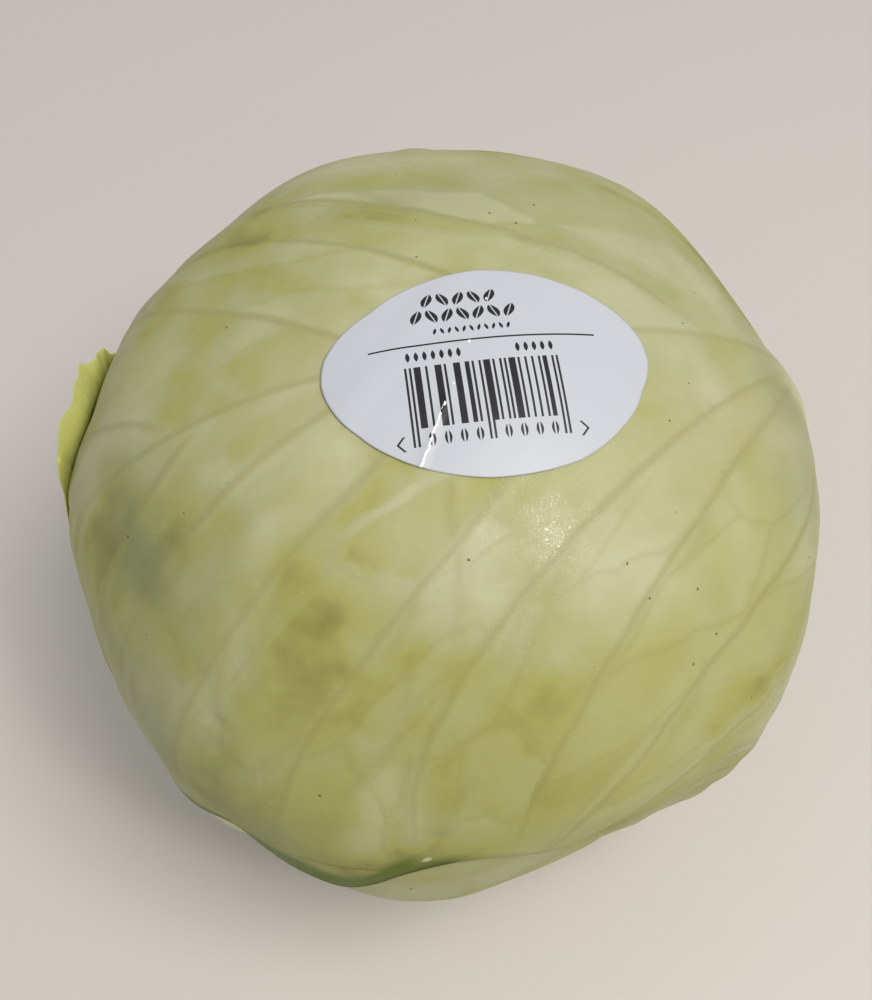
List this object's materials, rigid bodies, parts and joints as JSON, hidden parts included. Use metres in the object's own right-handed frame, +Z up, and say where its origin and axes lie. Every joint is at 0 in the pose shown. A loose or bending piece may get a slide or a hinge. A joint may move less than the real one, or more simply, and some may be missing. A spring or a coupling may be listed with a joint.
{
  "type": "white cabbage",
  "caption": "Round white cabbage head standing on its cut stem, with broad overlapping wrapper leaves, a ragged outer leaf remnant and an oval paper label.",
  "frame": {"origin": "centre of the stem's cut face, on the surface that the head stands on", "axes": "+Z up the stem's axis to the crown; +X within 10 degrees of the crown leaf's rib; -Y to the side that the label leans to"},
  "size_m": [0.1523, 0.1512, 0.1455],
  "materials": {
    "stem": "cut pith, matt and slightly moist",
    "heart_leaf": "waxy, satin",
    "wrapper_leaf": "waxy, satin, with raised veins",
    "torn_leaf": "waxy, satin, yellowing at its ragged rim",
    "label": "coated paper, satin"
  },
  "bodies": {
    "root": {"stem": "stem", "heart": "heart_leaf", "crown_leaf": "wrapper_leaf", "wrapper_leaf_1": "wrapper_leaf", "wrapper_leaf_2": "wrapper_leaf", "wrapper_leaf_3": "wrapper_leaf", "wrapper_leaf_4": "wrapper_leaf", "torn_leaf": "torn_leaf", "label": "label"}
  },
  "joints": []
}
